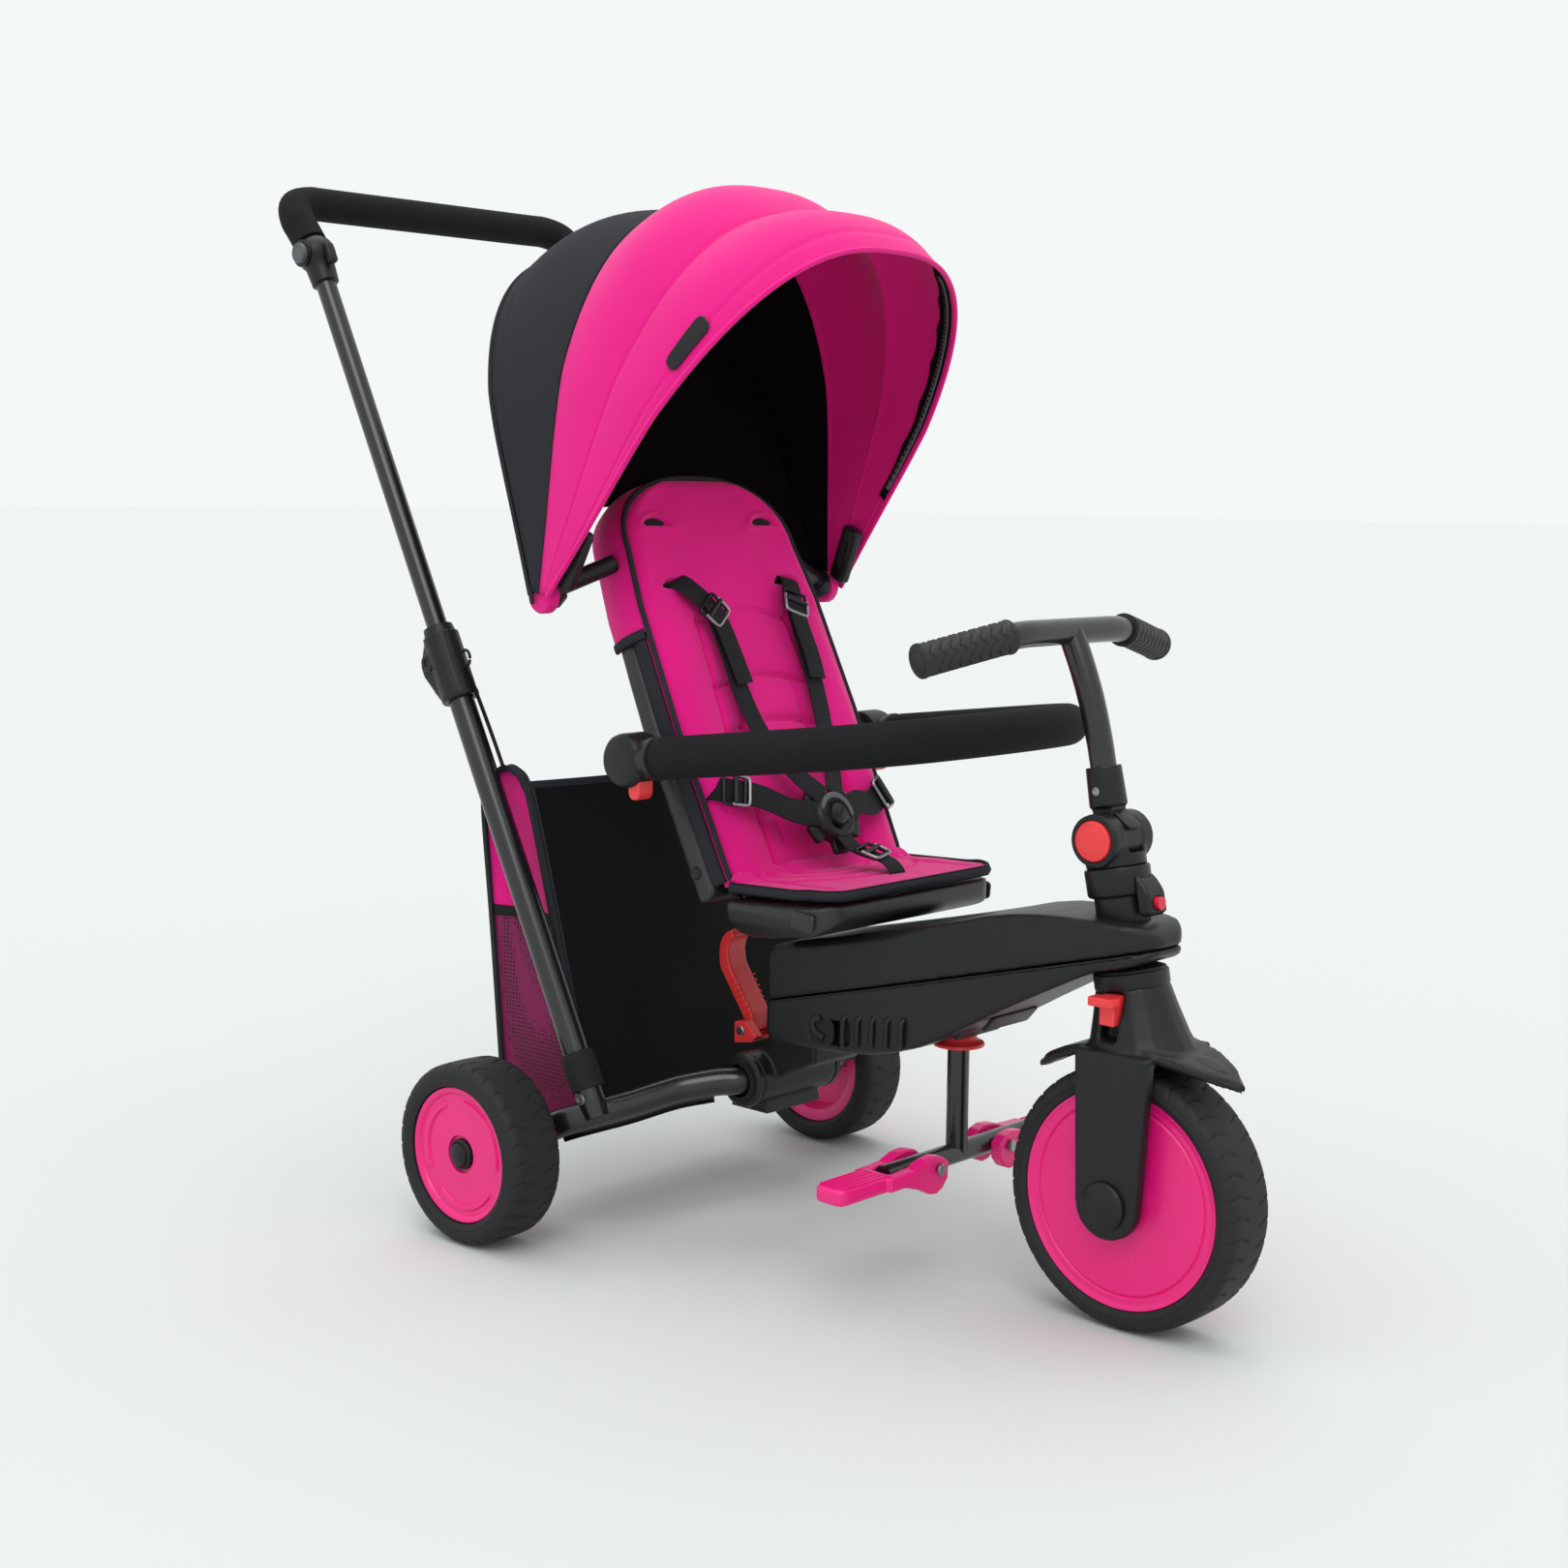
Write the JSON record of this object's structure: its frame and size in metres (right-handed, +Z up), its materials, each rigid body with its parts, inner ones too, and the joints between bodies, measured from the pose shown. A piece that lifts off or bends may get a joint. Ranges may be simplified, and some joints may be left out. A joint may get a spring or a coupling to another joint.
{
  "type": "children's folding tricycle with push handle and canopy",
  "caption": "Children's folding tricycle with a parent's push handle, sun canopy, padded harness seat, arm bar, folding footrest and rear storage bag.",
  "frame": {"origin": "middle of the footprint on the ground", "axes": "+X forward, the way the child rides; +Y to the rider's left; +Z up"},
  "size_m": [0.9434, 0.49, 0.8905],
  "materials": {
    "tyre_rubber": "matte, moulded tread",
    "grip_rubber": "matte, ribbed",
    "grip_foam": "matte closed-cell foam",
    "pink_plastic": "smooth satin",
    "canopy_fabric": "woven polyester",
    "liner_fabric": "knitted polyester over foam",
    "bag_fabric": "woven polyester",
    "black_tube": "gloss black paint",
    "coral_plastic": "satin",
    "grey_plastic": "matte",
    "black_plastic": "fine grained"
  },
  "bodies": {
    "chassis": {"boom_upper_shell": "black_plastic", "boom_lower_shell": "black_plastic", "steering_bearing": "black_plastic", "hinge_housing": "black_plastic", "lever_bracket": "coral_plastic", "seat_pan": "black_plastic", "seat_cushion": "liner_fabric"},
    "rear_frame": {"rear_bow": "black_tube", "push_tube_lower_right": "black_tube", "push_tube_lower_left": "black_tube", "height_clamp_right": "black_plastic", "height_clamp_left": "black_plastic", "storage_bag": "bag_fabric"},
    "rear_wheel_right": {"rear_tyre_right": "tyre_rubber", "rear_rim_right": "pink_plastic", "rear_hub_cap_right": "black_plastic"},
    "rear_wheel_left": {"rear_tyre_left": "tyre_rubber", "rear_rim_left": "pink_plastic", "rear_hub_cap_left": "black_plastic"},
    "fork": {"front_fork": "black_plastic", "front_axle": "black_plastic"},
    "front_wheel": {"front_tyre": "tyre_rubber", "front_rim": "pink_plastic"},
    "stem": {"steering_column": "black_plastic", "stem_hinge_base": "black_plastic", "lock_housing": "black_plastic"},
    "clutch_lever": {"clutch_lever": "coral_plastic"},
    "handlebar_set": {"stem_socket": "black_plastic", "handlebar": "black_tube", "handlebar_grip_right": "grip_rubber", "handlebar_grip_left": "grip_rubber"},
    "stem_release": {"stem_release_button": "coral_plastic"},
    "steering_lock": {"steering_lock_button": "coral_plastic"},
    "fold_lever": {"fold_lever": "coral_plastic"},
    "backrest": {"backrest_shell": "black_plastic", "back_cushion": "liner_fabric", "buckle_housing": "black_plastic", "canopy_bracket_right": "black_plastic", "canopy_bracket_left": "black_plastic"},
    "canopy": {"canopy_cover": "canopy_fabric"},
    "arm_bar": {"arm_bar": "grip_foam", "arm_cap_right": "black_plastic", "arm_cap_left": "black_plastic"},
    "arm_release_right": {"arm_release_tab_right": "coral_plastic"},
    "arm_release_left": {"arm_release_tab_left": "coral_plastic"},
    "buckle": {"buckle_button": "black_plastic"},
    "push_handle": {"push_tube_upper_right": "black_tube", "push_tube_upper_left": "black_tube", "handle_knuckle_right": "black_plastic", "handle_knuckle_left": "black_plastic"},
    "handle_bar": {"handle_bar": "grip_foam"},
    "knuckle_button_right": {"knuckle_button_right": "grey_plastic"},
    "knuckle_button_left": {"knuckle_button_left": "grey_plastic"},
    "height_button_right": {"height_button_right": "coral_plastic"},
    "height_button_left": {"height_button_left": "coral_plastic"},
    "footrest": {"footrest_frame": "black_tube"},
    "footrest_latch": {"footrest_latch": "coral_plastic"},
    "foot_peg_right": {"foot_peg_right": "pink_plastic"},
    "foot_peg_left": {"foot_peg_left": "pink_plastic"}
  },
  "joints": [
    {"name": "rear_frame_fold", "type": "hinge", "parent": "chassis", "child": "rear_frame", "pos_m": [0.0077, 0, 0.13], "axis": [0, 1, 0], "range_deg": [-65, 0]},
    {"name": "rear_wheel_right_spin", "type": "hinge", "parent": "rear_frame", "child": "rear_wheel_right", "pos_m": [-0.1323, -0.2185, 0.076], "axis": [0, 1, 0], "continuous": true},
    {"name": "rear_wheel_left_spin", "type": "hinge", "parent": "rear_frame", "child": "rear_wheel_left", "pos_m": [-0.1323, 0.2185, 0.076], "axis": [0, 1, 0], "continuous": true},
    {"name": "fork_steer", "type": "hinge", "parent": "chassis", "child": "fork", "pos_m": [0.3607, 0, 0.262], "axis": [-0.1942, 0, 0.981], "range_deg": [-45, 45]},
    {"name": "front_wheel_spin", "type": "hinge", "parent": "fork", "child": "front_wheel", "pos_m": [0.3707, 0, 0.101], "axis": [0, 1, 0], "continuous": true},
    {"name": "handlebar_steer", "type": "hinge", "parent": "chassis", "child": "stem", "pos_m": [0.3607, 0, 0.262], "axis": [-0.1942, 0, 0.981], "range_deg": [-45, 45]},
    {"name": "clutch_lever_slide", "type": "slide", "parent": "fork", "child": "clutch_lever", "axis": [0.1942, 0, -0.981], "range_m": [0, 0.007]},
    {"name": "stem_fold", "type": "hinge", "parent": "stem", "child": "handlebar_set", "pos_m": [0.33972, 0, 0.36794], "axis": [0, 1, 0], "range_deg": [0, 88]},
    {"name": "stem_release_press", "type": "slide", "parent": "stem", "child": "stem_release", "axis": [0, 1, 0], "range_m": [0, 0.0035], "stiffness_N_per_m": 500, "springref_m": -0.002},
    {"name": "steering_lock_press", "type": "slide", "parent": "stem", "child": "steering_lock", "axis": [-1, 0, 0], "range_m": [0, 0.003], "stiffness_N_per_m": 500, "springref_m": -0.002},
    {"name": "fold_lever_pull", "type": "hinge", "parent": "chassis", "child": "fold_lever", "pos_m": [-0.0203, 0, 0.163], "axis": [0, 1, 0], "range_deg": [-20, 0], "stiffness_Nm_per_rad": 0.5, "springref_deg": 8.59},
    {"name": "backrest_recline", "type": "hinge", "parent": "chassis", "child": "backrest", "pos_m": [0.02667, 0, 0.29169], "axis": [0, 1, 0], "range_deg": [-8, 0]},
    {"name": "canopy_tilt", "type": "hinge", "parent": "backrest", "child": "canopy", "pos_m": [-0.1033, 0, 0.518], "axis": [0, 1, 0], "range_deg": [-25, 25]},
    {"name": "arm_bar_swing", "type": "hinge", "parent": "backrest", "child": "arm_bar", "pos_m": [-0.0243, 0, 0.406], "axis": [0, 1, 0], "range_deg": [-75, 0]},
    {"name": "arm_release_right_press", "type": "slide", "parent": "arm_bar", "child": "arm_release_right", "axis": [0, 0, 1], "range_m": [0, 0.003], "stiffness_N_per_m": 500, "springref_m": -0.002},
    {"name": "arm_release_left_press", "type": "slide", "parent": "arm_bar", "child": "arm_release_left", "axis": [0, 0, 1], "range_m": [0, 0.003], "stiffness_N_per_m": 500, "springref_m": -0.002},
    {"name": "buckle_press", "type": "slide", "parent": "backrest", "child": "buckle", "axis": [-0.9026, 0, -0.4305], "range_m": [0, 0.002], "stiffness_N_per_m": 500, "springref_m": -0.002},
    {"name": "handle_telescope", "type": "slide", "parent": "rear_frame", "child": "push_handle", "axis": [-0.4571, 0, 0.8894], "range_m": [-0.2, 0.1]},
    {"name": "handle_pivot", "type": "hinge", "parent": "push_handle", "child": "handle_bar", "pos_m": [-0.41395, 0, 0.82575], "axis": [0, 1, 0], "range_deg": [-60, 60]},
    {"name": "knuckle_button_right_press", "type": "slide", "parent": "push_handle", "child": "knuckle_button_right", "axis": [0, 1, 0], "range_m": [0, 0.003], "stiffness_N_per_m": 500, "springref_m": -0.002},
    {"name": "knuckle_button_left_press", "type": "slide", "parent": "push_handle", "child": "knuckle_button_left", "axis": [0, -1, 0], "range_m": [0, 0.003], "stiffness_N_per_m": 500, "springref_m": -0.002},
    {"name": "height_button_right_press", "type": "slide", "parent": "rear_frame", "child": "height_button_right", "axis": [0.8894, 0, 0.4571], "range_m": [0, 0.003], "stiffness_N_per_m": 500, "springref_m": -0.002},
    {"name": "height_button_left_press", "type": "slide", "parent": "rear_frame", "child": "height_button_left", "axis": [0.8894, 0, 0.4571], "range_m": [0, 0.003], "stiffness_N_per_m": 500, "springref_m": -0.002},
    {"name": "footrest_slide", "type": "slide", "parent": "chassis", "child": "footrest", "axis": [0, 0, -1], "range_m": [0, 0.045]},
    {"name": "footrest_latch_pull", "type": "slide", "parent": "chassis", "child": "footrest_latch", "axis": [0, 0, -1], "range_m": [0, 0.004], "stiffness_N_per_m": 500, "springref_m": -0.002},
    {"name": "foot_peg_right_fold", "type": "hinge", "parent": "footrest", "child": "foot_peg_right", "pos_m": [0.1987, -0.046, 0.097], "axis": [1, 0, 0], "range_deg": [-75, 0]},
    {"name": "foot_peg_left_fold", "type": "hinge", "parent": "footrest", "child": "foot_peg_left", "pos_m": [0.1987, 0.046, 0.097], "axis": [1, 0, 0], "range_deg": [0, 75]}
  ],
  "couplings": [
    {"joint": "handlebar_steer", "follows": "fork_steer", "ratio": 1}
  ]
}
